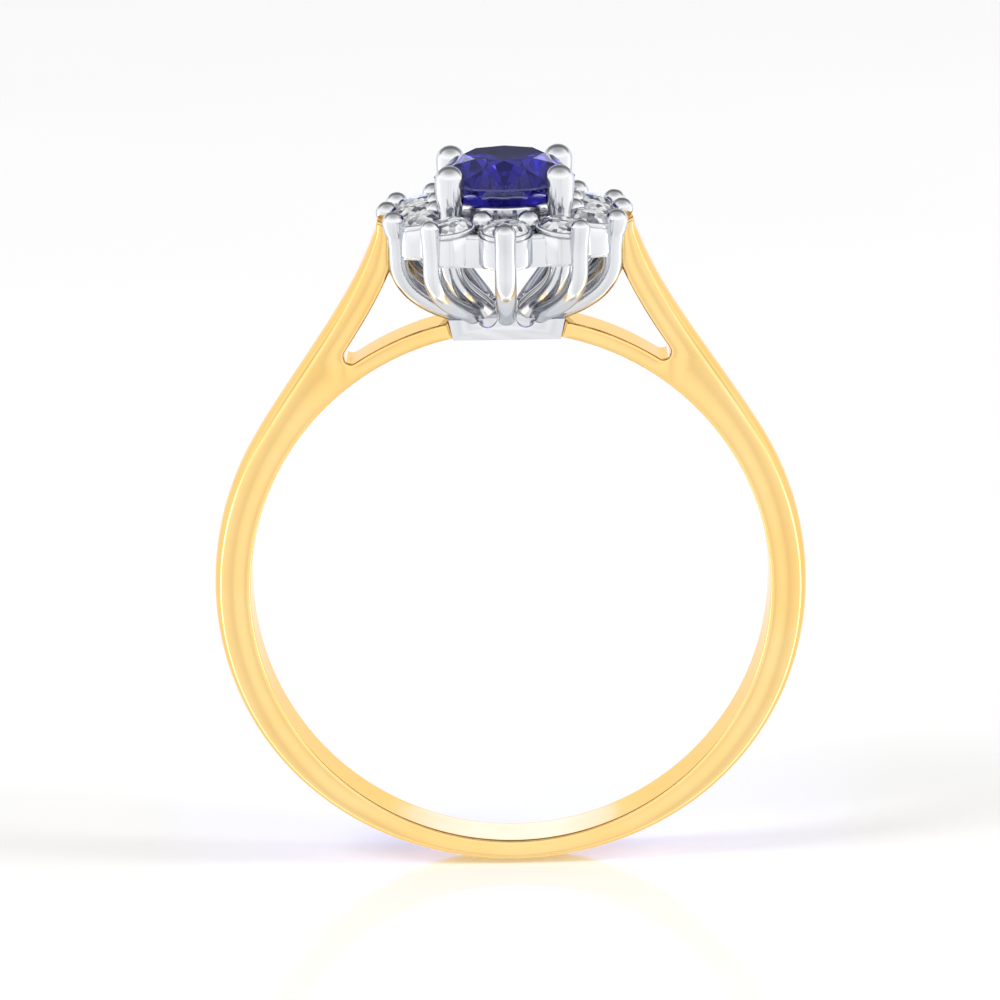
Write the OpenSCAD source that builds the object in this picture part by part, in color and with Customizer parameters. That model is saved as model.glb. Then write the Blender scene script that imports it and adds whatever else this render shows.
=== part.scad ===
// Oval cluster engagement ring.
// The origin is the centre of the finger bore, the bore runs along Y, and the
// head stands on +Z. The long axis of the oval head also runs along Y.

/* [Band] */
// Radius of the finger bore
bore_r = 8.5; // [7.4:0.1:10]
// Width of the band along the finger
band_w = 2.4; // [1.8:0.1:2.6]
// Thickness of the band at its sides
band_t = 1.2; // [1.1:0.02:1.3]
// How much thinner the band is at its lowest point
band_taper = 0.42; // [0:0.02:0.5]
// Bevel round both ends of the bore
bore_bevel = 0.12; // [0.05:0.01:0.2]

/* [Shoulders] */
// Height where the outer circle gives way to the shoulder sweep
shoulder_z = 5; // [4:0.1:5.5]
// Height of the top of the upper arms
arm_top_z = 12.24; // [12.1:0.01:12.35]
// Distance of the outer edge of an upper arm from the middle, at its top
arm_top_x = 4.12; // [4.08:0.01:4.3]
// Thickness of an upper arm
upper_arm_t = 0.92; // [0.7:0.01:1]
// Thickness of a lower arm, over the bore
lower_arm_t = 0.53; // [0.45:0.01:0.6]
// Radius of the rounded end of the gap between two arms
crotch_r = 0.25; // [0.2:0.01:0.28]

/* [Head base] */
// Half the length of the base across the finger, at its top
base_x = 1.88; // [1.85:0.01:1.92]
// Half the length of the base at its underside
base_foot_x = 1.74; // [1.7:0.01:1.8]
// Half the width of the base along the finger
base_y = 1.5; // [1.4:0.01:1.6]
// Height of the top of the base
base_top_z = 8.98; // [8.9:0.01:9.1]
// Half the length of the light hole in the base
hole_x = 0.74; // [0.7:0.01:0.78]
// Half the width of the light hole in the base
hole_y = 1.14; // [1:0.01:1.2]
// Radius of the notches in the front and back rims
notch_r = 0.32; // [0.3:0.01:0.34]
// Distance of the notches from the middle
notch_x = 0.62; // [0.6:0.01:0.64]

/* [Halo] */
// Half the width of the oval through the centres of the diamonds
halo_a = 2.86; // [2.8:0.01:3]
// Half the length of the oval through the centres of the diamonds
halo_b = 4.25; // [4.2:0.01:4.4]
// Fullness of that oval, where 2 is an ellipse
halo_full = 2.4; // [2:0.05:2.6]
// Height of the girdles of the diamonds
halo_z = 12.32; // [12.25:0.01:12.35]
// Outward tilt of the diamonds
halo_tilt = 12; // [8:1:15]
// Radius of a diamond
diamond_r = 0.76; // [0.7:0.01:0.77]
// Outer radius of the collet under a diamond
collet_r = 0.78; // [0.76:0.01:0.79]
// Height of the lower edge of the gallery
gallery_z = 11.15; // [11.05:0.01:11.3]
// Radius of the light hole in a collet
light_r = 0.5; // [0.35:0.01:0.55]

/* [Claw wires] */
// Radius of the wire that the halo claws are made of
wire_r = 0.3; // [0.26:0.01:0.31]
// How far the tips of the halo claws lean outward
wire_lean = 0.16; // [0.1:0.01:0.2]
// Distance of a claw wire from the centre of its diamond
wire_out = 0.79; // [0.76:0.01:0.82]
// Height of the tops of the halo claws
wire_top_z = 12.66; // [12.6:0.01:12.7]
// Height where the claw wires begin to curve inward
wire_bend_z = 11.05; // [11:0.01:11.15]
// Slope of a claw wire where it lands
wire_slope = 20; // [10:1:24]
// Half the width of the oval on which the claw wires land
foot_a = 1.7; // [1.66:0.01:1.74]
// Half the length of the oval on which the claw wires land
foot_b = 1.5; // [1.46:0.01:1.54]
// Height of the centre lines of the wires where they land
foot_z = 9.12; // [9.08:0.01:9.16]

/* [Beads] */
// Radius of the beads between the diamonds
bead_r = 0.3; // [0.24:0.01:0.31]
// How far the beads sit inside the line between two diamonds
bead_in = 0.54; // [0.52:0.01:0.6]
// Height of the tops of the beads
bead_top_z = 12.72; // [12.6:0.01:12.8]

/* [Centre stone] */
// Half the width of the centre stone
stone_a = 2.29; // [2.25:0.01:2.32]
// Half the length of the centre stone
stone_b = 3.1; // [3:0.01:3.15]
// Height of the upper edge of the girdle
girdle_z = 13.44; // [13.4:0.01:13.5]
// Height of the table over the girdle
crown_h = 0.75; // [0.6:0.01:0.8]
// Depth of the pavilion under the girdle
pavilion_h = 1.95; // [1.8:0.01:2]
// Table size as a share of the stone
table_share = 0.57; // [0.53:0.01:0.6]

/* [Centre setting] */
// Distance of the centre claws from the middle, across the finger
claw_x = 1.76; // [1.74:0.01:1.8]
// Distance of the centre claws from the middle, along the finger
claw_y = 2.36; // [2.32:0.01:2.4]
// Radius of a centre claw
claw_r = 0.37; // [0.34:0.01:0.38]
// Radius of the rounded tip of a centre claw
tip_r = 0.48; // [0.44:0.01:0.48]
// Height of the tops of the centre claws
tip_top_z = 14.14; // [14.05:0.01:14.2]
// Height where the centre claws bend inward under the gallery
claw_bend_z = 11.1; // [11:0.01:11.2]
// Distance of the feet of the centre claws from the middle, across the finger
claw_foot_x = 0.68; // [0.66:0.01:0.7]
// Distance of the feet of the centre claws from the middle, along the finger
claw_foot_y = 0.6; // [0.58:0.01:0.64]
// Height of the upper edge of the centre collet
collet_top_z = 12.8; // [12.75:0.01:12.85]
// Wall of the centre collet
collet_wall = 0.26; // [0.2:0.01:0.28]

/* [Hidden] */
halo_n = 12;
// The inner side of every third gap between two diamonds is held by a centre claw, the others by a bead
bead_places = [for (i = [0 : halo_n - 1]) if (i % 3 != 1) i];
// The two diamonds whose claws the upper arms are soldered to
side_places = [3, 9];
// Names with a two-digit number at the end
function numbered(stem, n) = [for (i = [1 : n]) str(stem, i < 10 ? "_0" : "_", i)];
wire_names = numbered("claw_wire", halo_n);
diamond_names = numbered("diamond", halo_n);
bead_names = numbered("bead", len(bead_places));

gold = "#f2c877";
white_gold = "#d9dde2";
blue_gem = "#2a2a8c";
clear_gem = "#eef2f6";

eps = 0.02;
// Length of cuts that go all the way through
reach = 30;
outer_r = bore_r + band_t;
// Fullness of the oval on which the claw wires land
foot_full = 3;
// Plate that ties the collets of the halo together, and the wall between two collets
plate_z = 11.85;
plate_t = 0.2;
web_t = 0.6;
// How far the tilted rims of the collets lie under the girdles
rim_drop = 0.08;
// Girdle of every stone, and the ring half way down a pavilion where its main facets begin
girdle_t = 0.06;
waist = 0.28;
waist_depth = 1 - waist * cos(22.5);
// Room left between a stone and its metal
seat_gap = 0.012;
crown_share = 0.32;
pavilion_share = 0.86;
diamond_crown = crown_share * diamond_r;
diamond_pavilion = pavilion_share * diamond_r;
base_bottom_z = sqrt(bore_r * bore_r - base_foot_x * base_foot_x);
// Height of the centres of the notches over the top of the base
notch_lift = 0.05;
// Height of the centre lines of the centre claws where they land, and their slope there
claw_foot_z = 9.2;
claw_slope = 35;
// Directions of the seams of round holes, clear of the edges of other parts
notch_seam = 45;
hole_seam = 10;

// ---- Ovals ----

// Point of an oval with half axes a and b, where t = 0 is the front end and full = 2 is an ellipse
function oval(a, b, t, full = 2) = [
    a * sign(sin(t)) * pow(abs(sin(t)), 2 / full),
    -b * sign(cos(t)) * pow(abs(cos(t)), 2 / full)];
// Outward unit normal of the oval at t
function oval_normal(a, b, t, full = 2) =
    let (p = oval(a, b, t, full), n = [
        sign(p[0]) * pow(abs(p[0] / a), full - 1) / a,
        sign(p[1]) * pow(abs(p[1] / b), full - 1) / b])
    n / norm(n);
// Length of the halo's oval from the front end to t, in short chords
function halo_run(t, step = 1) =
    t < step ? norm(halo_oval(t) - halo_oval(0))
    : norm(halo_oval(t) - halo_oval(t - step)) + halo_run(t - step, step);
// Value of t where the run from the front end reaches a length, found by halving
function halo_reach(length, lo = 0, hi = 90, tries = 12) =
    tries == 0 ? (lo + hi) / 2
    : let (mid = (lo + hi) / 2)
      halo_run(mid) < length ? halo_reach(length, mid, hi, tries - 1)
      : halo_reach(length, lo, mid, tries - 1);
function halo_oval(t) = oval(halo_a, halo_b, t, halo_full);

quarter_run = halo_run(90);
// Values of t for the places in one quarter of the halo, in half steps
quarter_t = [for (k = [0 : halo_n / 2]) halo_reach(quarter_run * 2 * k / halo_n)];
// Value of t for place k, counted in half steps all the way round
function halo_t(k) =
    let (quarter = halo_n / 2, turn = floor(k / quarter), rest = k - turn * quarter)
    turn % 2 == 0 ? turn * 90 + quarter_t[rest]
    : (turn + 1) * 90 - quarter_t[quarter - rest];

function diamond_at(i) = halo_oval(halo_t(2 * i));
function out_at(i) = oval_normal(halo_a, halo_b, halo_t(2 * i), halo_full);
function out_angle(i) = atan2(out_at(i)[1], out_at(i)[0]);

// ---- Brilliant cut ----

// Ring of n points of a gem with half axes a and b at height z, turned by a share of a step
function gem_ring(a, b, z, n, shift) =
    [for (k = [0 : n - 1]) [a * sin((k + shift) * 360 / n), -b * cos((k + shift) * 360 / n), z]];

// Brilliant with its girdle at height 0: table, stars, kites, girdle and pavilion mains
module brilliant(a, b, crown, pavilion, share, girdle) {
    star = 0.76;
    star_z = crown * (1 - star * cos(22.5)) / (1 - share);
    points = concat(
        gem_ring(a * share, b * share, crown, 8, 0),
        gem_ring(a * star, b * star, star_z, 8, 0.5),
        gem_ring(a, b, 0, 16, 0),
        gem_ring(a, b, -girdle, 16, 0),
        gem_ring(a * waist, b * waist, -girdle - pavilion * waist_depth, 8, 0.5),
        [[0, 0, -girdle - pavilion]]);
    star_0 = 8;
    girdle_0 = 16;
    lower_0 = 32;
    waist_0 = 48;
    culet = 56;
    faces = concat(
        [[for (k = [0 : 7]) 7 - k]],
        [for (k = [0 : 7]) [k, (k + 1) % 8, star_0 + k]],
        [for (k = [0 : 7]) [k, star_0 + k, girdle_0 + 2 * k]],
        [for (k = [0 : 7]) [(k + 1) % 8, girdle_0 + (2 * k + 2) % 16, star_0 + k]],
        [for (k = [0 : 7]) [star_0 + k, girdle_0 + 2 * k + 1, girdle_0 + 2 * k]],
        [for (k = [0 : 7]) [star_0 + k, girdle_0 + (2 * k + 2) % 16, girdle_0 + 2 * k + 1]],
        [for (k = [0 : 15]) [girdle_0 + k, girdle_0 + (k + 1) % 16, lower_0 + k]],
        [for (k = [0 : 15]) [girdle_0 + (k + 1) % 16, lower_0 + (k + 1) % 16, lower_0 + k]],
        [for (k = [0 : 7]) [lower_0 + 2 * k, lower_0 + 2 * k + 1, waist_0 + k]],
        [for (k = [0 : 7]) [lower_0 + 2 * k + 1, lower_0 + (2 * k + 2) % 16, waist_0 + k]],
        [for (k = [0 : 7]) [lower_0 + (2 * k + 2) % 16, waist_0 + (k + 1) % 8, waist_0 + k]],
        [for (k = [0 : 7]) [waist_0 + k, waist_0 + (k + 1) % 8, culet]]);
    polyhedron(points, faces);
}

// Puts its children at diamond i, upright, with +X outward
module at_diamond(i) {
    translate([diamond_at(i)[0], diamond_at(i)[1], halo_z])
        rotate([0, 0, out_angle(i)])
            children();
}

// Room that a diamond takes in the metal: two cones that meet at the girdle
module diamond_room() {
    r = diamond_r + seat_gap;
    rotate([0, halo_tilt, 0])
        rotate_extrude($fn = 48)
            polygon([[0, -girdle_t - diamond_pavilion - seat_gap], [r, -girdle_t], [r, 0],
                [r * table_share, diamond_crown + seat_gap], [0, diamond_crown + seat_gap]]);
}

// ---- Shank ----

shoulder_x = sqrt(outer_r * outer_r - shoulder_z * shoulder_z);
shoulder_dir = [-shoulder_z, shoulder_x] / outer_r;
// Angle between an upper arm and the vertical at its top
arm_slope = 15;
arm_dir = [sin(arm_slope), -cos(arm_slope)];
// How far the two ends pull on the sweep
sweep_lower = 3;
sweep_upper = 2.6;
// Thickness that an upper arm keeps beside the halo, and the height from which it does
arm_tip_t = 0.34;
arm_tip_z = 10;
// Control points of the sweep from the circle to the top of an upper arm
sweep = [[shoulder_x, shoulder_z],
    [shoulder_x, shoulder_z] + sweep_lower * shoulder_dir,
    [arm_top_x, arm_top_z] + sweep_upper * arm_dir,
    [arm_top_x, arm_top_z]];
function bend(p, t) = pow(1 - t, 3) * p[0] + 3 * pow(1 - t, 2) * t * p[1]
    + 3 * (1 - t) * t * t * p[2] + t * t * t * p[3];
function bend_dir(p, t) =
    let (d = pow(1 - t, 2) * (p[1] - p[0]) + 2 * (1 - t) * t * (p[2] - p[1]) + t * t * (p[3] - p[2]))
    d / norm(d);
sweep_steps = 24;
sweep_points = [for (k = [0 : sweep_steps]) bend(sweep, k / sweep_steps)];
// Inner edge of an upper arm, a fixed thickness inside the sweep
inner_points = [for (k = [0 : sweep_steps])
    let (t = k / sweep_steps, d = bend_dir(sweep, t))
    bend(sweep, t) + upper_arm_t * [-d[1], d[0]]];
shoulder_angle = atan2(shoulder_z, shoulder_x);
// Outer radius of the band in direction w, thinner towards the lowest point
function band_radius(w) = outer_r - band_taper * pow(max(0, -sin(w)), 3);

// Half of the outline of the shank, from the bottom to the top of one upper arm
module outline_half() {
    arc_steps = 60;
    arc = [for (k = [0 : arc_steps])
        let (w = -90 + (shoulder_angle + 90) * k / arc_steps)
        band_radius(w) * [cos(w), sin(w)]];
    polygon(concat([[0, 0]], arc, sweep_points, [[0, arm_top_z]]));
}

// Half of the gap between the arms and over the lower arm, with a rounded end
module gap_half() {
    limit_x = arm_top_x - arm_tip_t;
    top = arm_top_z + 2 * crotch_r;
    gap_points = [for (p = inner_points) [max(p[0], p[1] > arm_tip_z ? limit_x : 0), p[1]]];
    offset(r = crotch_r, $fn = 32) offset(delta = -crotch_r)
        difference() {
            polygon(concat([[-base_x, 0]], gap_points, [[limit_x, top], [-base_x, top]]));
            circle(r = bore_r + lower_arm_t, $fn = 180);
        }
}

module shank() {
    color(gold)
        difference() {
            rotate([90, 0, 0])
                linear_extrude(height = band_w, center = true)
                    for (side = [0, 1])
                        mirror([side, 0])
                            difference() {
                                outline_half();
                                gap_half();
                            }
            rotate([90, 0, 0])
                cylinder(r = bore_r, h = reach, center = true, $fn = 180);
            for (side = [-1, 1])
                rotate([side * 90, 0, 0])
                    translate([0, 0, band_w / 2 - bore_bevel])
                        cylinder(r1 = bore_r, r2 = bore_r + 2 * bore_bevel, h = 2 * bore_bevel, $fn = 180);
            base_block(reach, arm_top_z);
            for (i = side_places) {
                wire_path(i);
                at_diamond(i)
                    translate([0, 0, gallery_z - halo_z])
                        cylinder(r = collet_r, h = reach, $fn = 48);
            }
        }
}

// ---- Head base ----

// Block of a given width along the finger that the two ends of the shank stop at, as high as top
module base_block(width, top) {
    slant = (base_x - base_foot_x) / (base_top_z - base_bottom_z);
    top_x = base_foot_x + slant * (top - base_bottom_z);
    rotate([90, 0, 0])
        linear_extrude(height = width, center = true)
            polygon([[-base_foot_x, base_bottom_z], [base_foot_x, base_bottom_z],
                [top_x, top], [-top_x, top]]);
}

module head_base() {
    color(white_gold)
        difference() {
            base_block(2 * base_y, base_top_z);
            translate([-hole_x, -hole_y, 0])
                cube([2 * hole_x, 2 * hole_y, reach]);
            for (side = [-1, 1])
                translate([side * notch_x, 0, base_top_z + notch_lift])
                    rotate([90, notch_seam, 0])
                        cylinder(r = notch_r, h = reach, center = true, $fn = 32);
        }
}

// ---- Claw wires ----

function wire_at(i) = diamond_at(i) + wire_out * out_at(i);
function foot_at(i) = oval(foot_a, foot_b, i * 360 / halo_n, foot_full);

wire_sides = 20;
dome_steps = 4;
neck_steps = 6;
bend_steps = 12;
wire_over = 0.05;
// Share of a quarter bend that its control points reach
round_share = 0.52;
// Share of the upright stretch over which a wide tip narrows to the wire
neck_share = 0.35;

// Line of rings [run, height, radius, run direction, height direction] of a wire: a domed tip,
// an upright stretch, a bend that starts at height z and a foot at run h
function wire_line(h, z, top, tip, lean, r, foot, slope) =
    let (v = z - foot,
        head = [-lean, top - tip],
        middle = (head[1] + z) / 2,
        neck = [head, [-lean / 2, middle + lean], [0, middle], [0, z]],
        low = [[0, z], [0, z - round_share * v],
            [h, foot] + round_share * h * [-cos(slope), sin(slope)], [h, foot]],
        up = bend_dir(neck, 0))
    concat(
        [for (k = [1 : dome_steps - 1])
            let (w = 90 * k / dome_steps)
            concat(head - tip * cos(w) * up, [tip * sin(w)], up)],
        [for (k = [0 : neck_steps])
            let (t = k / neck_steps, wide = max(0, 1 - t / neck_share))
            concat(bend(neck, t), [r + (tip - r) * sqrt(wide)], bend_dir(neck, t))],
        [for (k = [1 : bend_steps])
            let (t = k / bend_steps)
            concat(bend(low, t), [r], bend_dir(low, t))],
        [[h + wire_over * cos(slope), foot - wire_over * sin(slope), r, cos(slope), -sin(slope)]]);

// Round tube along a line in the XZ plane, with closed ends
module tube(line) {
    last = (len(line) - 1) * wire_sides;
    points = [for (c = line, k = [0 : wire_sides - 1])
        let (w = k * 360 / wire_sides)
        [c[0] - c[2] * cos(w) * c[4], c[2] * sin(w), c[1] + c[2] * cos(w) * c[3]]];
    sides = [for (j = [0 : len(line) - 2], k = [0 : wire_sides - 1], half = [0, 1])
        let (a = j * wire_sides + k, b = j * wire_sides + (k + 1) % wire_sides)
        half == 0 ? [a, b, b + wire_sides] : [a, b + wire_sides, a + wire_sides]];
    polyhedron(points, concat(
        [[for (k = [0 : wire_sides - 1]) wire_sides - 1 - k]],
        sides,
        [[for (k = [0 : wire_sides - 1]) last + k]]));
}

// Full wire from its rounded tip down and round to its foot
module wire_path(i) {
    top = wire_at(i);
    run = foot_at(i) - top;
    translate([top[0], top[1], 0])
        rotate([0, 0, atan2(run[1], run[0])])
            tube(wire_line(norm(run), wire_bend_z, wire_top_z, wire_r, wire_lean,
                wire_r, foot_z, wire_slope));
}

module claw_wire(i) {
    color(white_gold)
        difference() {
            wire_path(i);
            at_diamond(i) {
                diamond_room();
                translate([0, 0, gallery_z - halo_z])
                    cylinder(r = collet_r, h = halo_z - gallery_z, $fn = 48);
            }
            base_block(2 * base_y, base_top_z);
        }
}

// ---- Gallery ----

module gallery() {
    inner_a = stone_inner_a + collet_wall;
    inner_b = stone_inner_b + collet_wall;
    color(white_gold)
        difference() {
            union() {
                for (i = [0 : halo_n - 1])
                    at_diamond(i)
                        translate([0, 0, gallery_z - halo_z])
                            difference() {
                                cylinder(r = collet_r, h = halo_z - gallery_z, $fn = 48);
                                rotate([0, halo_tilt, 0])
                                    translate([-2 * collet_r, -2 * collet_r, halo_z - gallery_z - rim_drop])
                                        cube(4 * collet_r);
                            }
                translate([0, 0, gallery_z])
                    linear_extrude(height = plate_z + plate_t - gallery_z)
                        difference() {
                            oval_plate(halo_a + web_t / 2, halo_b + web_t / 2, halo_full);
                            oval_plate(halo_a - web_t / 2, halo_b - web_t / 2, halo_full);
                        }
                translate([0, 0, plate_z])
                    linear_extrude(height = plate_t)
                        oval_plate(halo_a, halo_b, halo_full);
            }
            for (i = [0 : halo_n - 1])
                at_diamond(i) {
                    diamond_room();
                    translate([0, 0, gallery_z - halo_z - eps])
                        cylinder(r = light_r, h = halo_z - gallery_z + eps, $fn = 48);
                }
            translate([0, 0, gallery_z - eps])
                linear_extrude(height = reach)
                    oval_plate(inner_a, inner_b);
            claw_holes();
        }
}

module oval_plate(a, b, full = 2) {
    corners = 96;
    polygon([for (k = [0 : corners - 1]) oval(a, b, k * 360 / corners, full)]);
}

// ---- Beads ----

module bead(i) {
    t = halo_t(2 * i + 1);
    middle = (diamond_at(i) + diamond_at(i + 1)) / 2;
    place = middle - bead_in * oval_normal(halo_a, halo_b, t, halo_full);
    color(white_gold)
        translate([place[0], place[1], plate_z + plate_t]) {
            cylinder(r = bead_r, h = bead_top_z - bead_r - plate_z - plate_t, $fn = 32);
            translate([0, 0, bead_top_z - bead_r - plate_z - plate_t]) sphere(r = bead_r, $fn = 32);
        }
}

module diamond(i) {
    color(clear_gem)
        at_diamond(i)
            rotate([0, halo_tilt, 0])
                brilliant(diamond_r, diamond_r, diamond_crown, diamond_pavilion, table_share, girdle_t);
}

// ---- Centre stone and its setting ----

// Share of the stone's outline that is left at height z of the pavilion
function outline_share(z) =
    let (depth = (girdle_z - girdle_t - z) / pavilion_h)
    1 - depth * (1 - waist) / waist_depth;
stone_inner_a = stone_a * outline_share(collet_top_z);
stone_inner_b = stone_b * outline_share(collet_top_z);

module centre_stone() {
    color(blue_gem)
        translate([0, 0, girdle_z])
            brilliant(stone_a, stone_b, crown_h, pavilion_h, table_share, girdle_t);
}

module centre_collet() {
    color(white_gold)
        difference() {
            translate([0, 0, plate_z])
                linear_extrude(height = collet_top_z - plate_z)
                    oval_plate(stone_inner_a + collet_wall, stone_inner_b + collet_wall);
            translate([0, 0, plate_z - eps])
                linear_extrude(height = collet_top_z - plate_z + 2 * eps)
                    oval_plate(stone_inner_a, stone_inner_b);
            claw_holes();
        }
}

// Round seats for the four centre claws
module claw_holes() {
    for (sx = [-1, 1], sy = [-1, 1])
        translate([sx * claw_x, sy * claw_y, claw_bend_z])
            rotate([0, 0, hole_seam])
                cylinder(r = claw_r, h = tip_top_z - claw_bend_z, $fn = 48);
}

// Centre claw on the side sx, sy of the stone, notched for the girdles that it holds
module centre_claw(sx, sy) {
    run = -[sx * (claw_x - claw_foot_x), sy * (claw_y - claw_foot_y)];
    color(white_gold)
        difference() {
            translate([sx * claw_x, sy * claw_y, 0])
                rotate([0, 0, atan2(run[1], run[0])])
                    tube(wire_line(norm(run), claw_bend_z, tip_top_z, tip_r, 0,
                        claw_r, claw_foot_z, claw_slope));
            translate([0, 0, girdle_z])
                brilliant(stone_a + seat_gap, stone_b + seat_gap, crown_h, pavilion_h, table_share, girdle_t);
            for (i = [0 : halo_n - 1])
                if (norm(diamond_at(i) - [sx * claw_x, sy * claw_y]) < 2 * diamond_r)
                    at_diamond(i) diamond_room();
            base_block(2 * base_y, base_top_z);
        }
}

shank();
head_base();
gallery();
centre_collet();
centre_stone();
centre_claw(-1, -1);  // centre_claw_1
centre_claw(1, -1);  // centre_claw_2
centre_claw(1, 1);  // centre_claw_3
centre_claw(-1, 1);  // centre_claw_4
for (i = [0 : halo_n - 1])
    claw_wire(i);
for (i = [0 : halo_n - 1])
    diamond(i);
for (k = [0 : len(bead_places) - 1])
    bead(bead_places[k]);
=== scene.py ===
import math
import random

import bmesh
import bpy
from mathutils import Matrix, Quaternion, Vector


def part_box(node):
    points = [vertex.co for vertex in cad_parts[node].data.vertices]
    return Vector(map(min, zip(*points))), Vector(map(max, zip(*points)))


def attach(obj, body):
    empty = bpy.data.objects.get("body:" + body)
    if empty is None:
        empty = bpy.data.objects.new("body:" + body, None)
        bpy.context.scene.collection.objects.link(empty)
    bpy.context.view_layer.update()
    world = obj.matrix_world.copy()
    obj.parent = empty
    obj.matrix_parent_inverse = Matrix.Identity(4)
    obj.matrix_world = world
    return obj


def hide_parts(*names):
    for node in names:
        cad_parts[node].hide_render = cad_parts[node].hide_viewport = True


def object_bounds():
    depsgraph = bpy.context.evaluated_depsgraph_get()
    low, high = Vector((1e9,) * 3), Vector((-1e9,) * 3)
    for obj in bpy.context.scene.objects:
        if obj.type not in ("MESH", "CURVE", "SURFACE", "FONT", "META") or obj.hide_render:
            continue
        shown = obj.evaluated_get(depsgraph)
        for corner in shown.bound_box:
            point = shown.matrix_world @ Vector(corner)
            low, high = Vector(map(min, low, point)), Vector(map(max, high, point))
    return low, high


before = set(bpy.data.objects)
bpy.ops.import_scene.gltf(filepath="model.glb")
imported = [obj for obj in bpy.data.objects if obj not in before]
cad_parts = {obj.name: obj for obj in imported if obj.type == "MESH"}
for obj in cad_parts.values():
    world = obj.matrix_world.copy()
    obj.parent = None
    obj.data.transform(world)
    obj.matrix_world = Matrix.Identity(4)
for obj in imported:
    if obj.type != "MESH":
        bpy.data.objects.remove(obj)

# All shape values are in millimetres, and MM turns them into the frame's metres.
MM = 0.001
HALO = ["%02d" % i for i in range(1, 13)]
CLAWS = ["centre_claw_%d" % i for i in range(1, 5)]
BEADS = ["bead_%02d" % i for i in range(1, 9)]
SHAPE_RANDOM = random.Random(11)
QUARTER = math.radians(90)
# Edges with a wider turn than this stay crisp, on the smooth pieces and on the cast ones
SMOOTH_CORNER = math.radians(50)
CAST_CORNER = math.radians(42)


def box_mm(node):
    """Low and high corner of a CAD node, in millimetres."""
    low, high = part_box(node)
    return Vector(low) / MM, Vector(high) / MM


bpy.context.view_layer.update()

# ---- Mesh helpers ----


def add_object(name, bm):
    """Puts a bmesh in metres into the scene as a new object."""
    mesh = bpy.data.meshes.new(name)
    bm.to_mesh(mesh)
    bm.free()
    thing = bpy.data.objects.new(name, mesh)
    bpy.context.scene.collection.objects.link(thing)
    return thing


def make_piece(name, bm, node, sharp_angle=None):
    """Turns a bmesh in millimetres into a shown piece that takes a CAD node's place and rides on
    the root body."""
    bmesh.ops.scale(bm, vec=(MM, MM, MM), verts=bm.verts)
    bmesh.ops.recalc_face_normals(bm, faces=bm.faces)
    for face in bm.faces:
        face.smooth = True
    if sharp_angle is not None:
        for edge in bm.edges:
            if len(edge.link_faces) == 2:
                edge.smooth = edge.calc_face_angle() < sharp_angle
    piece = add_object(name, bm)
    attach(piece, "root")
    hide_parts(node)
    return piece


def add_rings(bm, rings, loop=False, caps=True):
    """Joins rings of points with quads. loop joins the last ring to the first."""
    rows = [[bm.verts.new(p) for p in ring] for ring in rings]
    count = len(rows[0])
    pairs = list(zip(rows, rows[1:] + rows[:1])) if loop else list(zip(rows, rows[1:]))
    for a, b in pairs:
        for k in range(count):
            j = (k + 1) % count
            bm.faces.new((a[k], a[j], b[j], b[k]))
    if caps and not loop:
        bm.faces.new(list(reversed(rows[0])))
        bm.faces.new(rows[-1])
    return rows


def round_angles(count):
    """Angles that divide a full turn evenly."""
    return [2 * math.pi * k / count for k in range(count)]


def polar(r, w):
    """Point at radius r in direction w."""
    return r * Vector((math.cos(w), math.sin(w)))


def arc(centre, r, start, stop, steps, first):
    """Points of a round arc from direction start to stop. first is 0, or 1 without its start."""
    return [centre + polar(r, start + (stop - start) * k / steps) for k in range(first, steps + 1)]


def across(axis):
    """Two directions at right angles to an axis and to each other."""
    aside = axis.orthogonal().normalized()
    return aside, axis.cross(aside)


def bezier(p, t):
    """Point on a cubic curve with the four control points p."""
    s = 1 - t
    return p[0] * s**3 + p[1] * 3 * s * s * t + p[2] * 3 * s * t * t + p[3] * t**3


def bezier_way(p, t):
    """Unit direction of a cubic curve."""
    s = 1 - t
    way = (p[1] - p[0]) * s * s + (p[2] - p[1]) * 2 * s * t + (p[3] - p[2]) * t * t
    return way.normalized()


def spline(points, k, t):
    """Point of the closed smooth curve through points, at share t from point k to the next."""
    a, b, c, d = (points[(k + j) % len(points)] for j in (-1, 0, 1, 2))
    return (b * 2 + (c - a) * t + (a * 2 - b * 5 + c * 4 - d) * t**2
            + (b * 3 - a - c * 3 + d) * t**3) / 2


# ---- Shank ----

BORE_R = 8.5
OUTER_R = 9.7
# How much thinner the band is at its lowest point
BAND_TAPER = 0.42
# Half of the band's width along the finger
BAND_HALF = 1.2
# Where the shoulder leaves the round outline
SHOULDER_Z = 5.0
# Outer top corner of an upper arm, and how far the arm leans from upright there
ARM_TOP = Vector((4.12, 12.24))
ARM_SLOPE = math.radians(15)
# How strongly the shoulder's curve follows its two end directions
SWEEP_LOWER = 3.0
SWEEP_UPPER = 2.6
UPPER_ARM_T = 0.92
LOWER_ARM_R = 9.03
# Radius of the round crotch between the two arms
CROTCH_R = 0.25
# Above this height the upper arm keeps this far from the ring's middle
ARM_LIMIT_Z = 10
ARM_LIMIT_X = 3.7
# Where the lower arms meet the head base, at its foot and at its top
BASE_FOOT_X = 1.74
BASE_TOP_X = 1.88
# How deep the edges are rounded: round the outside, at the arms' tops, in the bore and in the slots
OUTER_ROUND = 0.34
TOP_ROUND = 0.16
BORE_ROUND = 0.12
SLOT_ROUND = 0.10
# Outline points closer together than this are left out
SHORTEST_STEP = 0.004


def band_radius(w):
    """Outer radius of the band in direction w, thinner towards its lowest point."""
    return OUTER_R - BAND_TAPER * max(0.0, -math.sin(w)) ** 3


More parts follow.
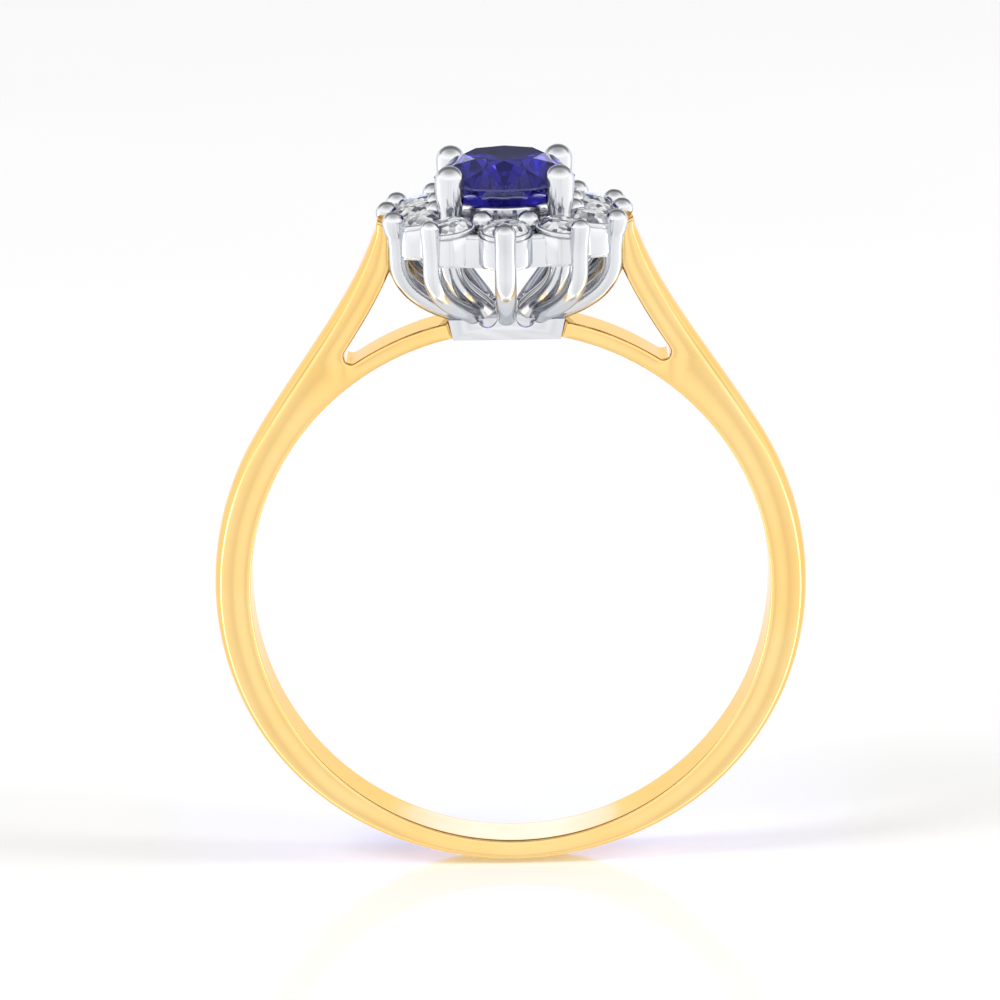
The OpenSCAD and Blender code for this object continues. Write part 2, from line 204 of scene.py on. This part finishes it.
def shank_half():
    """Half of the shank's outline, from the lowest outer point round to the lowest point of the
    bore, as (point, rounding depth of its edge)."""
    bore_centre = Vector((0, 0))
    shoulder = Vector((math.sqrt(OUTER_R**2 - SHOULDER_Z**2), SHOULDER_Z))
    rise = Vector((-shoulder.y, shoulder.x)) / OUTER_R
    lean = Vector((math.sin(ARM_SLOPE), -math.cos(ARM_SLOPE)))
    sweep = [shoulder, shoulder + SWEEP_LOWER * rise, ARM_TOP + SWEEP_UPPER * lean, ARM_TOP]
    band_steps, sweep_steps, crotch_steps, arm_steps, bore_steps = 90, 40, 10, 30, 120

    end = math.atan2(shoulder.y, shoulder.x)
    path = []
    for k in range(band_steps):
        w = -math.pi / 2 + (end + math.pi / 2) * k / band_steps
        path.append((polar(band_radius(w), w), OUTER_ROUND))
    for k in range(sweep_steps + 1):
        t = k / sweep_steps
        path.append((bezier(sweep, t), OUTER_ROUND + (TOP_ROUND - OUTER_ROUND) * t**2))

    def inside(t, depth):
        way = bezier_way(sweep, t)
        return bezier(sweep, t) + depth * Vector((-way.y, way.x))

    # The crotch touches the upper arm's inner side and the lower arm: halving finds its place
    low, high = 0.0, 1.0
    for _ in range(40):
        half = (low + high) / 2
        if inside(half, UPPER_ARM_T + CROTCH_R).length < LOWER_ARM_R + CROTCH_R:
            low = half
        else:
            high = half
    crotch = inside(high, UPPER_ARM_T + CROTCH_R)
    for k in range(sweep_steps + 1):
        p = inside(1 - (1 - high) * k / sweep_steps, UPPER_ARM_T)
        limit = ARM_LIMIT_X if p.y > ARM_LIMIT_Z else 0
        path.append((Vector((max(p.x, limit), min(p.y, ARM_TOP.y))), SLOT_ROUND))
    start = math.atan2(*(path[-1][0] - crotch).yx)
    stop = math.atan2(*(-crotch).yx)
    if stop > start:
        stop -= 2 * math.pi
    path += [(p, SLOT_ROUND) for p in arc(crotch, CROTCH_R, start, stop, crotch_steps, 1)]
    start = math.atan2(*path[-1][0].yx)
    stop = math.acos(BASE_TOP_X / LOWER_ARM_R)
    path += [(p, SLOT_ROUND) for p in arc(bore_centre, LOWER_ARM_R, start, stop, arm_steps, 1)]
    start = math.acos(BASE_FOOT_X / BORE_R)
    path += [(p, BORE_ROUND) for p in arc(bore_centre, BORE_R, start, -math.pi / 2, bore_steps, 0)]
    return path


def softened(depths, times=6):
    """Evens out the rounding depths along a closed outline."""
    for _ in range(times):
        depths = [(depths[k - 1] + 2 * d + depths[(k + 1) % len(depths)]) / 4
                  for k, d in enumerate(depths)]
    return depths


def build_shank():
    """Band with a domed outside, rounded bore edges and split shoulders."""
    half = shank_half()
    mirrored = [(Vector((-p.x, p.y)), d) for p, d in reversed(half)]
    path = half + mirrored[1:-1]
    kept = [path[0]]
    for p, d in path[1:]:
        if (p - kept[-1][0]).length > SHORTEST_STEP:
            kept.append((p, d))
    points = [p for p, _ in kept]
    depths = softened([d for _, d in kept])
    count = len(points)
    normals = []
    for k in range(count):
        way = (points[(k + 1) % count] - points[k - 1]).normalized()
        normals.append(Vector((-way.y, way.x)))
    layers = 14
    rings = []
    for j in range(-layers, layers + 1):
        turn = QUARTER * j / layers
        y = BAND_HALF * math.sin(turn)
        ring = []
        for p, n, d in zip(points, normals, depths):
            if d > TOP_ROUND:
                fall = d * (1 - math.cos(turn))
            else:
                edge = max(0.0, (abs(y) - (BAND_HALF - d)) / d)
                fall = d * (1 - math.sqrt(max(0.0, 1 - edge * edge)))
            q = p + n * fall
            ring.append(Vector((q.x, y, q.y)))
        rings.append(ring)
    bm = bmesh.new()
    rows = add_rings(bm, rings, caps=False)
    for row in (rows[0], rows[-1]):
        rim = [bm.edges.get((row[k - 1], row[k])) for k in range(len(row))]
        bmesh.ops.triangle_fill(bm, edges=rim, use_beauty=True)
    return make_piece("shank_gold", bm, "shank", SMOOTH_CORNER)


# ---- Wires and claws ----

WIRE_R = 0.3
# The wires at the two ends of the oval, and how much thicker they are
END_WIRES = (0, 6)
END_WIRE_SHARE = 1.12
# How much wider a claw's tip is than its wire, except on the three wires at the front
TIP_BULGE = 1.2
FRONT_WIRES = (11, 0, 1)
# The four wires that are thicker in their bend, and by how much
THICK_WIRES = (4, 5, 7, 8)
SWELL = 0.4
# How far outside its diamond's centre a wire stands, and how far its tip leans in
WIRE_OUT = 0.79
WIRE_LEAN = 0.16
# How far the tips stand above the CAD wires, how uneven they are, and how uneven their size is
WIRE_RISE = 0.01
TIP_UNEVEN = 0.03
TIP_SPREAD = 1.06
# Where a wire starts to bend in, and its slope at its foot
WIRE_BEND_Z = 11.05
WIRE_SLOPE = math.radians(20)
# Half width, half length and fullness of the oval that the wires' feet stand on, and its height
FOOT_A = 1.7
FOOT_B = 1.5
FOOT_FULL = 3
FOOT_Z = 9.12
# How round the bend is, as a share of its run
ROUND_SHARE = 0.52
# Share of the upright stretch over which the tip narrows to the wire
NECK_SHARE = 0.35
# Centre claws: radius of the wire and of its tip, and how far the tip stands above the CAD claw
CLAW_R = 0.37
CLAW_TIP_R = 0.48
CLAW_RISE = 0.03
# Where a centre claw starts to bend in, its foot, and its slope there
CLAW_BEND_Z = 11.1
CLAW_FOOT = Vector((0.68, 0.6))
CLAW_FOOT_Z = 9.2
CLAW_SLOPE = math.radians(35)


def oval(a, b, t, full):
    """Point of a full oval, where t = 0 is its front end."""
    def power(v):
        return math.copysign(abs(v) ** (2 / full), v)
    return Vector((a * power(math.sin(t)), -b * power(math.cos(t))))


def wire_rings(top, foot, levels, tip, r, lean, slope, swell=0.0):
    """Rings of a claw wire: a domed tip, an upright stretch and a bend inward to its foot.
    levels holds the heights of the tip's top, of the start of the bend and of the foot. swell is
    how much thicker the middle of the bend is."""
    top_z, bend_z, foot_z = levels
    sides, dome_steps, neck_steps, bend_steps = 32, 7, 16, 26
    way_in = foot - top
    run = way_in.length
    along = Vector((way_in.x, way_in.y, 0)) / run
    side = Vector((-along.y, along.x, 0))
    head = Vector((-lean, top_z - tip))
    middle = (head.y + bend_z) / 2
    neck = [head, Vector((-lean / 2, middle + lean)), Vector((0, middle)), Vector((0, bend_z))]
    pull = ROUND_SHARE * run * Vector((-math.cos(slope), math.sin(slope)))
    low = [Vector((0, bend_z)), Vector((0, bend_z - ROUND_SHARE * (bend_z - foot_z))),
           Vector((run, foot_z)) + pull, Vector((run, foot_z))]
    up = bezier_way(neck, 0)
    line = []
    for k in range(1, dome_steps):
        w = QUARTER * k / dome_steps
        line.append((head - tip * math.cos(w) * up, tip * math.sin(w), up))
    for k in range(neck_steps + 1):
        t = k / neck_steps
        wide = max(0.0, 1 - t / NECK_SHARE)
        line.append((bezier(neck, t), r + (tip - r) * math.sqrt(wide), bezier_way(neck, t)))
    for k in range(1, bend_steps + 1):
        t = k / bend_steps
        line.append((bezier(low, t), r * (1 + swell * math.sin(math.pi * t)), bezier_way(low, t)))
    rings = []
    for c, radius, way in line:
        centre = Vector((top.x, top.y, 0)) + along * c.x + Vector((0, 0, c.y))
        outward = Vector((0, 0, way.x)) - along * way.y
        rings.append([centre + radius * (math.cos(w) * outward + math.sin(w) * side)
                      for w in round_angles(sides)])
    return rings


def diamond_seat(number):
    """Middle of a side diamond's box, its outward direction from above, and its axis, from its
    CAD mesh."""
    node = "diamond_" + number
    points = [v.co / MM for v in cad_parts[node].data.vertices]
    culet = min(points, key=lambda p: p.z)
    middle = sum(points, Vector()) / len(points)
    axis = (middle - culet).normalized()
    low, high = box_mm(node)
    return (low + high) / 2, axis.xy.normalized(), axis


def build_claw_wire(index, number):
    """One halo claw: it leans over its diamond and runs down to the head base."""
    seat, out, _ = diamond_seat(number)
    top_z = box_mm("claw_wire_" + number)[1].z + WIRE_RISE
    top_z += SHAPE_RANDOM.uniform(-TIP_UNEVEN, TIP_UNEVEN)
    top = seat.xy + WIRE_OUT * out
    foot = oval(FOOT_A, FOOT_B, 2 * math.pi * index / len(HALO), FOOT_FULL)
    thick = END_WIRE_SHARE if index in END_WIRES else 1.0
    bulge = 1.0 if index in FRONT_WIRES else TIP_BULGE
    tip = WIRE_R * thick * bulge * SHAPE_RANDOM.uniform(1.0, TIP_SPREAD)
    lean = WIRE_LEAN + SHAPE_RANDOM.uniform(-TIP_UNEVEN, TIP_UNEVEN)
    bm = bmesh.new()
    add_rings(bm, wire_rings(top, foot, (top_z, WIRE_BEND_Z, FOOT_Z), tip, WIRE_R * thick, lean,
                             WIRE_SLOPE, SWELL if index in THICK_WIRES else 0.0))
    return make_piece("wire_" + number, bm, "claw_wire_" + number)


def build_centre_claw(node):
    """One of the four round-topped claws of the centre stone."""
    low, high = box_mm(node)
    side_x = math.copysign(1, low.x + high.x)
    side_y = math.copysign(1, low.y + high.y)
    top = Vector((side_x * (max(abs(low.x), abs(high.x)) - CLAW_TIP_R),
                  side_y * (max(abs(low.y), abs(high.y)) - CLAW_TIP_R)))
    foot = Vector((side_x * CLAW_FOOT.x, side_y * CLAW_FOOT.y))
    bm = bmesh.new()
    add_rings(bm, wire_rings(top, foot, (high.z + CLAW_RISE, CLAW_BEND_Z, CLAW_FOOT_Z), CLAW_TIP_R,
                             CLAW_R, 0.0, CLAW_SLOPE))
    return make_piece("claw_" + node[-1], bm, node)


# ---- Beads, seats and collets ----

# How much wider than in the CAD a bead's head is, at least and at most, and how much higher
BEAD_WIDE = (1.1, 1.2)
BEAD_RISE = 0.1
# Radius of a bead's post and depth of its top below the head's, as shares of the head's radius
POST_SHARE = 0.8
POST_TOP = 1.6
# Where the head's round outline starts, and how far it goes round, in degrees
HEAD_START = -40
HEAD_TURN = 128


def build_bead(node):
    """Post with a round head between two diamonds."""
    low, high = box_mm(node)
    centre = (low + high) / 2
    r = (high.x - low.x) / 2 * SHAPE_RANDOM.uniform(*BEAD_WIDE)
    top_z = high.z + BEAD_RISE
    profile = [(r * POST_SHARE, low.z - top_z), (r * POST_SHARE, -r * POST_TOP)]
    steps = 13
    for k in range(steps + 1):
        w = math.radians(HEAD_START + HEAD_TURN * k / steps)
        profile.append((r * math.cos(w), -r + r * math.sin(w)))
    sides = 32
    bm = bmesh.new()
    add_rings(bm, [[Vector((centre.x + d * math.cos(w), centre.y + d * math.sin(w), top_z + h))
                    for w in round_angles(sides)] for d, h in profile])
    return make_piece(node + "_head", bm, node)


# CAD vertices closer than MERGE are joined, flat corners below FLAT are removed, and edges with a
# wider turn than BEVEL_CORNER are rounded
MERGE = 0.0005
FLAT = math.radians(1)
BEVEL_CORNER = math.radians(32)
GALLERY_BEVEL = 0.03
BASE_BEVEL = 0.07


def rounded_solid(node, bevel):
    """The CAD node's solid with small rounded edges."""
    bm = bmesh.new()
    bm.from_mesh(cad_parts[node].data)
    bmesh.ops.scale(bm, vec=(1 / MM,) * 3, verts=bm.verts)
    bmesh.ops.remove_doubles(bm, verts=bm.verts, dist=MERGE)
    bmesh.ops.dissolve_limit(bm, angle_limit=FLAT, verts=bm.verts, edges=bm.edges)
    sharp = [e for e in bm.edges
             if len(e.link_faces) == 2 and e.calc_face_angle() > BEVEL_CORNER]
    bmesh.ops.bevel(bm, geom=sharp, offset=bevel, segments=2, profile=0.5, affect="EDGES",
                    clamp_overlap=True)
    return bm


# Seat ring round a diamond: its radius, the half width and half height of its section, and how
# far it lies below the top of the gallery
SEAT_R = 0.755
SEAT_WIDE = 0.075
SEAT_DEEP = 0.10
SEAT_DROP = 0.07
# Gallery wall: radius of a collet, half thickness of the wall between two collets, radius of the
# rolled lower edge, rounding of the upper edge, depth of the wall and height of its upper edge
COLLET_R = 0.81
WEB_HALF = 0.3
SKIRT_ROLL = 0.12
RIM_ROUND = 0.04
SKIRT_WALL = 0.4
SKIRT_TOP_Z = 12.2
# How much lower the wall's upper edge is in front of a collet, as the tilted diamonds are
RIM_DIP = 0.15
# How much higher the gallery's lower edge is between two collets
SCALLOP = 0.1


def add_skirt(bm, low_z):
    """Adds the gallery's outer wall: it swells round each collet and has a rolled lower edge."""
    seats = [diamond_seat(number)[0].xy for number in HALO]
    steps, power, roll_steps = 28, 4, 6
    line = [spline(seats, k, j / steps) for k in range(len(seats)) for j in range(steps)]
    rings = []
    for k, p in enumerate(line):
        way = (line[(k + 1) % len(line)] - line[k - 1]).normalized()
        out = Vector((way.y, -way.x))
        if out.dot(p) < 0:
            out = -out
        near = min((p - seat).length for seat in seats)
        bulge = math.sqrt(max(0.0, COLLET_R**2 - near**2))
        wide = (bulge**power + WEB_HALF**power) ** (1 / power)
        low = low_z + SCALLOP * (COLLET_R - bulge)
        top = SKIRT_TOP_Z - RIM_DIP * bulge / COLLET_R
        profile = [(wide - RIM_ROUND, top), (wide, top - RIM_ROUND)]
        for j in range(roll_steps + 1):
            w = QUARTER * j / roll_steps
            profile.append((wide - SKIRT_ROLL * (1 - math.cos(w)),
                            low + SKIRT_ROLL * (1 - math.sin(w))))
        profile += [(wide - SKIRT_WALL, low), (wide - SKIRT_WALL, top)]
        rings.append([Vector((p.x + out.x * d, p.y + out.y * d, z)) for d, z in profile])
    add_rings(bm, rings, loop=True)


def add_seat(bm, centre, axis):
    """Adds the rounded ring that a diamond's girdle sits in."""
    turns, sides = 64, 12
    aside, other = across(axis)
    rings = []
    for w in round_angles(turns):
        ray = math.cos(w) * aside + math.sin(w) * other
        rings.append([centre + ray * (SEAT_R + SEAT_WIDE * math.cos(v))
                      + axis * (SEAT_DEEP * math.sin(v) - SEAT_DROP) for v in round_angles(sides)])
    add_rings(bm, rings, loop=True)


def build_gallery():
    """Collets and plate of the halo, with a rounded seat ring round each diamond."""
    bm = rounded_solid("gallery", GALLERY_BEVEL)
    low, high = box_mm("gallery")
    add_skirt(bm, low.z)
    for number in HALO:
        centre, _, axis = diamond_seat(number)
        centre.z = high.z
        add_seat(bm, centre, axis)
    return make_piece("gallery_metal", bm, "gallery", CAST_CORNER)


def build_head_base():
    """Block under the head, with softened edges."""
    bm = rounded_solid("head_base", BASE_BEVEL)
    return make_piece("base_metal", bm, "head_base", CAST_CORNER)


def build_centre_collet():
    """Oval collet of the centre stone: a rolled upper edge, and inside it a cup that narrows
    under the stone."""
    low, high = box_mm("centre_collet")
    wall, roll, cup_share, rim = 0.26, 0.12, 0.4, 0.06
    roll_steps, turns = 8, 128
    # Each point has an offset from the outer wall, a share of the collet's size and a height
    profile = [(0.0, 1.0, low.z), (0.0, 1.0, high.z - roll)]
    for k in range(1, roll_steps + 1):
        w = QUARTER * k / roll_steps
        profile.append((roll * (math.cos(w) - 1), 1.0, high.z - roll + roll * math.sin(w)))
    profile += [(roll - wall, 1.0, high.z), (-wall, 1.0, high.z - rim), (0.0, cup_share, low.z)]
    bm = bmesh.new()
    add_rings(bm, [[Vector(((high.x * share + d) * math.sin(w),
                            -(high.y * share + d) * math.cos(w), z)) for d, share, z in profile]
                   for w in round_angles(turns)], loop=True)
    return make_piece("collet_metal", bm, "centre_collet", SMOOTH_CORNER)


# ---- Materials ----

# Waves per millimetre of the metals' tone, polishing haze, soft waves and fine scratches
TONE_WAVES = 0.35
HAZE_WAVES = 1.3
SOFT_WAVES = 0.22
SCRATCH_WAVES = 14.0
# Waves per millimetre of the colour zones in a stone
ZONE_WAVES = 0.5
# Cells per millimetre of the painted facet reflections in a small brilliant, their relief, and the
# range of their painted light and dark tone
PAINTED_GLINT_CELLS = 5.5
GLITTER_DEPTH = 0.06
PAINTED_GLINT_TONE = (-0.8, 1.0)
# Noise values mostly lie between these
NOISE_LOW = 0.3
NOISE_HIGH = 0.7


class Nodes:
    """Small helper that adds nodes to a tree and links them."""

    def __init__(self, tree):
        self.tree = tree
        self.places = tree.nodes.new("ShaderNodeTexCoord").outputs

    def add(self, kind, **values):
        """Adds a node. A value goes to the input of that name, or to the node's own property."""
        node = self.tree.nodes.new(kind)
        for key, value in values.items():
            if hasattr(node, key):
                setattr(node, key, value)
            else:
                self.put(node.inputs[key.replace("_", " ")], value)
        return node

    def put(self, socket, value):
        """Links a socket to an output, or sets its number or colour."""
        if isinstance(value, bpy.types.NodeSocket):
            self.tree.links.new(value, socket)
        else:
            socket.default_value = value

    def noise(self, scale, detail=3.0, rough=0.5):
        """Noise over the object, with scale in waves per millimetre."""
        return self.add("ShaderNodeTexNoise", Vector=self.places["Object"], Scale=scale / MM,
                        Detail=detail, Roughness=rough).outputs["Fac"]

    def spread(self, value, low, high):
        """Maps a noise value onto a range."""
        return self.add("ShaderNodeMapRange", Value=value, From_Min=NOISE_LOW, From_Max=NOISE_HIGH,
                        To_Min=low, To_Max=high).outputs["Result"]

    def mix(self, factor, first, second):
        """Mixes two colours."""
        node = self.add("ShaderNodeMix", data_type="RGBA")
        self.put(node.inputs[0], factor)
        self.put(node.inputs[6], first)
        self.put(node.inputs[7], second)
        return node.outputs[2]

    def bump(self, height, distance, normal=None):
        """Adds a bump of a given depth in millimetres."""
        node = self.add("ShaderNodeBump", Height=height, Distance=distance * MM)
        if normal is not None:
            self.put(node.inputs["Normal"], normal)
        return node.outputs["Normal"]

    def maths(self, operation, *values):
        """Works out a number from one or two others."""
        node = self.add("ShaderNodeMath", operation=operation)
        for socket, value in zip(node.inputs, values):
            self.put(socket, value)
        return node.outputs[0]

    def ramp(self, value, stops):
        """Grey value that follows stops of (position, brightness)."""
        node = self.add("ShaderNodeValToRGB", Fac=value)
        elements = node.color_ramp.elements
        while len(elements) < len(stops):
            elements.new(0.5)
        for element, (position, grey) in zip(elements, stops):
            element.position = position
            element.color = (grey, grey, grey, 1)
        return node.outputs["Color"]


class Surface(Nodes):
    """Nodes of a new material."""

    def __init__(self, name):
        self.material = bpy.data.materials.new(name)
        self.material.use_nodes = True
        super().__init__(self.material.node_tree)
        self.shader = self.tree.nodes["Principled BSDF"]

    def set(self, name, value):
        """Links or sets one input of the shader."""
        self.put(self.shader.inputs[name], value)

    def set_tone(self, waves, light, dark):
        """Colour that drifts between two tones."""
        self.set("Base Color", self.mix(self.spread(self.noise(waves), 0.0, 1.0), light, dark))


def give(piece, material):
    """Gives a piece one material."""
    piece.data.materials.clear()
    piece.data.materials.append(material)


def polished_metal(name, light, dark, edge, haze, wave, scratch):
    """Polished precious metal: slight tone changes, polishing haze, soft waves and fine scratches.
    haze is the range of its roughness, and wave and scratch are depths in millimetres."""
    n = Surface(name)
    n.set_tone(TONE_WAVES, light, dark)
    n.set("Metallic", 1.0)
    n.set("Specular Tint", edge)
    n.set("Roughness", n.spread(n.noise(HAZE_WAVES, detail=5.0, rough=0.6), *haze))
    waves = n.bump(n.noise(SOFT_WAVES, detail=1.0), wave)
    n.set("Normal", n.bump(n.noise(SCRATCH_WAVES, detail=4.0, rough=0.7), scratch, waves))
    return n.material


def cut_stone(name, index, clear):
    """Polished stone without its colour. clear is the share of light that passes through it."""
    n = Surface(name)
    n.set("Transmission Weight", clear)
    n.set("Roughness", 0.0)
    n.set("IOR", index)
    return n


def coloured_gem(name, light, dark, index, clear):
    """Cut stone with slight colour zoning."""
    n = cut_stone(name, index, clear)
    n.set_tone(ZONE_WAVES, light, dark)
    return n.material


def brilliant_gem(name, light, dark, index, clear, glitter):
    """Small brilliant: the light and dark patches that its back facets mirror are painted
    reflections in its colour, as light and dark cells, and glitter is its metallic share.
    """
    n = cut_stone(name, index, clear)
    cells = n.add("ShaderNodeTexVoronoi", Vector=n.places["Object"], Scale=PAINTED_GLINT_CELLS / MM)
    grey = n.add("ShaderNodeRGBToBW", Color=cells.outputs["Color"]).outputs[0]
    # Painted reflections: light and dark cells in the base colour stand in for mirrored facets
    n.set("Base Color", n.mix(n.spread(grey, *PAINTED_GLINT_TONE), light, dark))
    n.set("Metallic", glitter)
    n.set("Normal", n.bump(cells.outputs["Distance"], GLITTER_DEPTH))
    return n.material


# ---- Stage ----

CAMERA_DISTANCE = 180
CAMERA_ELEVATION = math.radians(12.5)
CAMERA_ROLL = math.radians(0.9)
CAMERA_LENS = 197.2
# How far the view's middle is above and left of the bore's centre
AIM_UP = 2.68
AIM_LEFT = 0.31
# Radii of the rings of points that the floor is made of
FLOOR_RADII = (1500, 400, 80, 10)
FLOOR_WAVES = 0.02
# Distance of the reflected cards from the ring's middle, and how their light fades to the ends
CARD_R = 60
CARD_FADE = [(0.0, 0.0), (0.4, 1.0), (0.6, 1.0), (1.0, 0.0)]
# Brightness of the tent round the horizon, from behind the ring (0) to the front (1)
AROUND = [(0.0, 0.55), (0.05, 0.55), (0.062, 0.54), (0.12, 0.54), (0.17, 0.52), (0.39, 0.52),
          (0.41, 1.9), (0.47, 1.9), (0.49, 0.62), (0.7, 0.55), (0.92, 0.53), (0.962, 0.44),
          (0.985, 0.54), (1.0, 0.56)]
# Brightness of the tent by height, from straight down (0) to straight up (1), and the share that
# it has at each height, while AROUND has the rest
BY_HEIGHT = [(0.0, 0.25), (0.5, 0.5), (0.7, 0.66), (0.86, 0.5), (0.96, 0.28), (1.0, 0.24)]
HEIGHT_SHARE = [(0.0, 0.3), (0.3, 0.1), (0.45, 0.0), (0.54, 0.0), (0.6, 0.85), (0.75, 1.0)]
# How much darker the tent is the further a direction points behind the ring, and at which heights
BEHIND = [(0.1, 0.0), (0.45, 0.75), (0.9, 0.8)]
HIGH_UP = [(0.62, 0.0), (0.72, 1.0)]
TENT_STRENGTH = 2.0
# Keeps the division by a direction's flat length away from zero
SHORTEST_FLAT = 0.001


def make_camera():
    """Long lens in front of the ring, a little above it."""
    data = bpy.data.cameras.new("camera")
    data.sensor_width = 36
    data.lens = CAMERA_LENS
    data.clip_start = 0.01
    camera = bpy.data.objects.new("camera", data)
    back = Vector((0, -math.cos(CAMERA_ELEVATION), math.sin(CAMERA_ELEVATION)))
    up = Vector((0, math.sin(CAMERA_ELEVATION), math.cos(CAMERA_ELEVATION)))
    spot = back * CAMERA_DISTANCE
    aim = up * AIM_UP - Vector((AIM_LEFT, 0, 0))
    camera.location = spot * MM
    turn = (aim - spot).to_track_quat("-Z", "Y")
    camera.rotation_mode = "QUATERNION"
    roll = Quaternion(Vector((0, 0, 1)), -CAMERA_ROLL)
    camera.rotation_quaternion = turn @ roll
    bpy.context.scene.collection.objects.link(camera)
    bpy.context.scene.camera = camera


def make_floor():
    """Pale floor under the ring."""
    sides = 96
    bm = bmesh.new()
    rows = add_rings(bm, [[Vector((r * math.cos(w), r * math.sin(w), 0))
                           for w in round_angles(sides)] for r in FLOOR_RADII], caps=False)
    bm.faces.new(rows[-1])
    bmesh.ops.scale(bm, vec=(MM,) * 3, verts=bm.verts)
    bmesh.ops.recalc_face_normals(bm, faces=bm.faces)
    floor = add_object("floor", bm)
    floor.location.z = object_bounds()[0].z
    n = Surface("floor_white")
    n.set_tone(FLOOR_WAVES, (0.95, 0.95, 0.95, 1), (0.93, 0.93, 0.93, 1))
    n.set("Roughness", 0.15)
    n.set("Specular IOR Level", 0.12)
    give(floor, n.material)
    floor.visible_glossy = False


def make_light(name, place, size, radiance):
    """Soft box aimed at the ring, with its middle at place. Reflections don't show it."""
    data = bpy.data.lights.new(name, "AREA")
    data.shape = "RECTANGLE"
    data.size, data.size_y = size[0] * MM, size[1] * MM
    data.energy = radiance * math.pi * data.size * data.size_y
    lamp = bpy.data.objects.new(name, data)
    lamp.location = Vector(place) * MM
    lamp.rotation_euler = (-Vector(place)).to_track_quat("-Z", "Y").to_euler()
    lamp.visible_camera = False
    lamp.visible_glossy = False
    bpy.context.scene.collection.objects.link(lamp)


def make_card(name, reach, heights, strength, middle, ends):
    """Bent card behind the ring that only reflections see. It reaches the same number of degrees
    to both sides of straight behind, and heights holds its lower and upper edge. Its light fades
    from the colour middle to the colour ends."""
    steps = 24
    bm = bmesh.new()
    rows = []
    for k in range(steps + 1):
        w = math.radians(-reach + 2 * reach * k / steps)
        rows.append([bm.verts.new((CARD_R * math.sin(w) * MM, CARD_R * math.cos(w) * MM, z * MM))
                     for z in heights])
    for a, b in zip(rows, rows[1:]):
        bm.faces.new((a[0], a[1], b[1], b[0]))
    card = add_object(name, bm)
    n = Surface(name)
    n.set("Base Color", (0, 0, 0, 1))
    n.set("Specular IOR Level", 0.0)
    along = n.add("ShaderNodeSeparateXYZ", Vector=n.places["Generated"]).outputs["X"]
    n.set("Emission Color", n.mix(n.ramp(along, CARD_FADE), ends, middle))
    n.set("Emission Strength", strength)
    give(card, n.material)
    card.visible_camera = False
    card.visible_diffuse = False
    card.visible_shadow = False


def make_studio():
    """White light tent. It is darker high up behind the ring, and has a bright strip a little
    behind each side."""
    world = bpy.data.worlds.new("studio")
    bpy.context.scene.world = world
    world.use_nodes = True
    n = Nodes(world.node_tree)
    x, y, z = n.add("ShaderNodeSeparateXYZ", Vector=n.places["Generated"]).outputs
    flat = n.maths("SQRT", n.maths("ADD", n.maths("MULTIPLY", x, x), n.maths("MULTIPLY", y, y)))
    turn = n.maths("ARCCOSINE", n.maths("DIVIDE", y, n.maths("MAXIMUM", flat, SHORTEST_FLAT)))
    around = n.ramp(n.maths("DIVIDE", turn, math.pi), AROUND)
    height = n.maths("ADD", n.maths("MULTIPLY", z, 0.5), 0.5)
    shade = n.maths("MULTIPLY", n.ramp(y, BEHIND), n.ramp(height, HIGH_UP))
    by_height = n.maths("MULTIPLY", n.ramp(height, BY_HEIGHT), n.maths("SUBTRACT", 1.0, shade))
    background = n.tree.nodes["Background"]
    n.put(background.inputs["Color"], n.mix(n.ramp(height, HEIGHT_SHARE), around, by_height))
    n.put(background.inputs["Strength"], TENT_STRENGTH)


# ---- Put together ----


gold = polished_metal("yellow_gold_polished", light=(1.0, 0.715, 0.315, 1),
                      dark=(1.0, 0.66, 0.24, 1), edge=(1.0, 0.8, 0.52, 1), haze=(0.05, 0.11),
                      wave=0.05, scratch=0.00006)
white_gold = polished_metal("white_gold_polished", light=(0.81, 0.825, 0.85, 1),
                            dark=(0.70, 0.715, 0.745, 1), edge=(0.72, 0.73, 0.76, 1),
                            haze=(0.12, 0.2), wave=0.02, scratch=0.00008)
blue_gem = coloured_gem("blue_gem_cut", light=(0.045, 0.036, 0.46, 1),
                        dark=(0.022, 0.019, 0.26, 1), index=1.76, clear=0.9)
# The light and dark tones of the clear stones are painted facet reflections
clear_gem = brilliant_gem("clear_gem_cut", light=(0.97, 0.985, 1.0, 1), dark=(0.15, 0.16, 0.20, 1),
                          index=2.0, clear=0.2, glitter=0.3)

give(build_shank(), gold)
metal_pieces = [build_head_base(), build_gallery(), build_centre_collet()]
metal_pieces += [build_claw_wire(i, number) for i, number in enumerate(HALO)]
metal_pieces += [build_centre_claw(node) for node in CLAWS]
metal_pieces += [build_bead(node) for node in BEADS]
for piece in metal_pieces:
    give(piece, white_gold)
give(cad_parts["centre_stone"], blue_gem)
for number in HALO:
    give(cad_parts["diamond_" + number], clear_gem)

make_floor()
make_studio()
# A grey card that the table of the centre stone reflects, and a bright bluish one that turns the
# gold at the bottom of the bore cream
make_card("card_table", reach=24, heights=(19.5, 27), strength=0.12, middle=(1, 1, 1, 1),
          ends=(1, 1, 1, 1))
make_card("card_bore", reach=16, heights=(4, 10.5), strength=4.2, middle=(0.32, 0.38, 0.9, 1),
          ends=(0.24, 0.24, 0.24, 1))
make_light("key", place=(-260, -160, 330), size=(160, 160), radiance=7.0)
make_light("side", place=(300, -60, 190), size=(120, 220), radiance=5.6)
make_camera()
bpy.context.scene.view_settings.view_transform = "Standard"
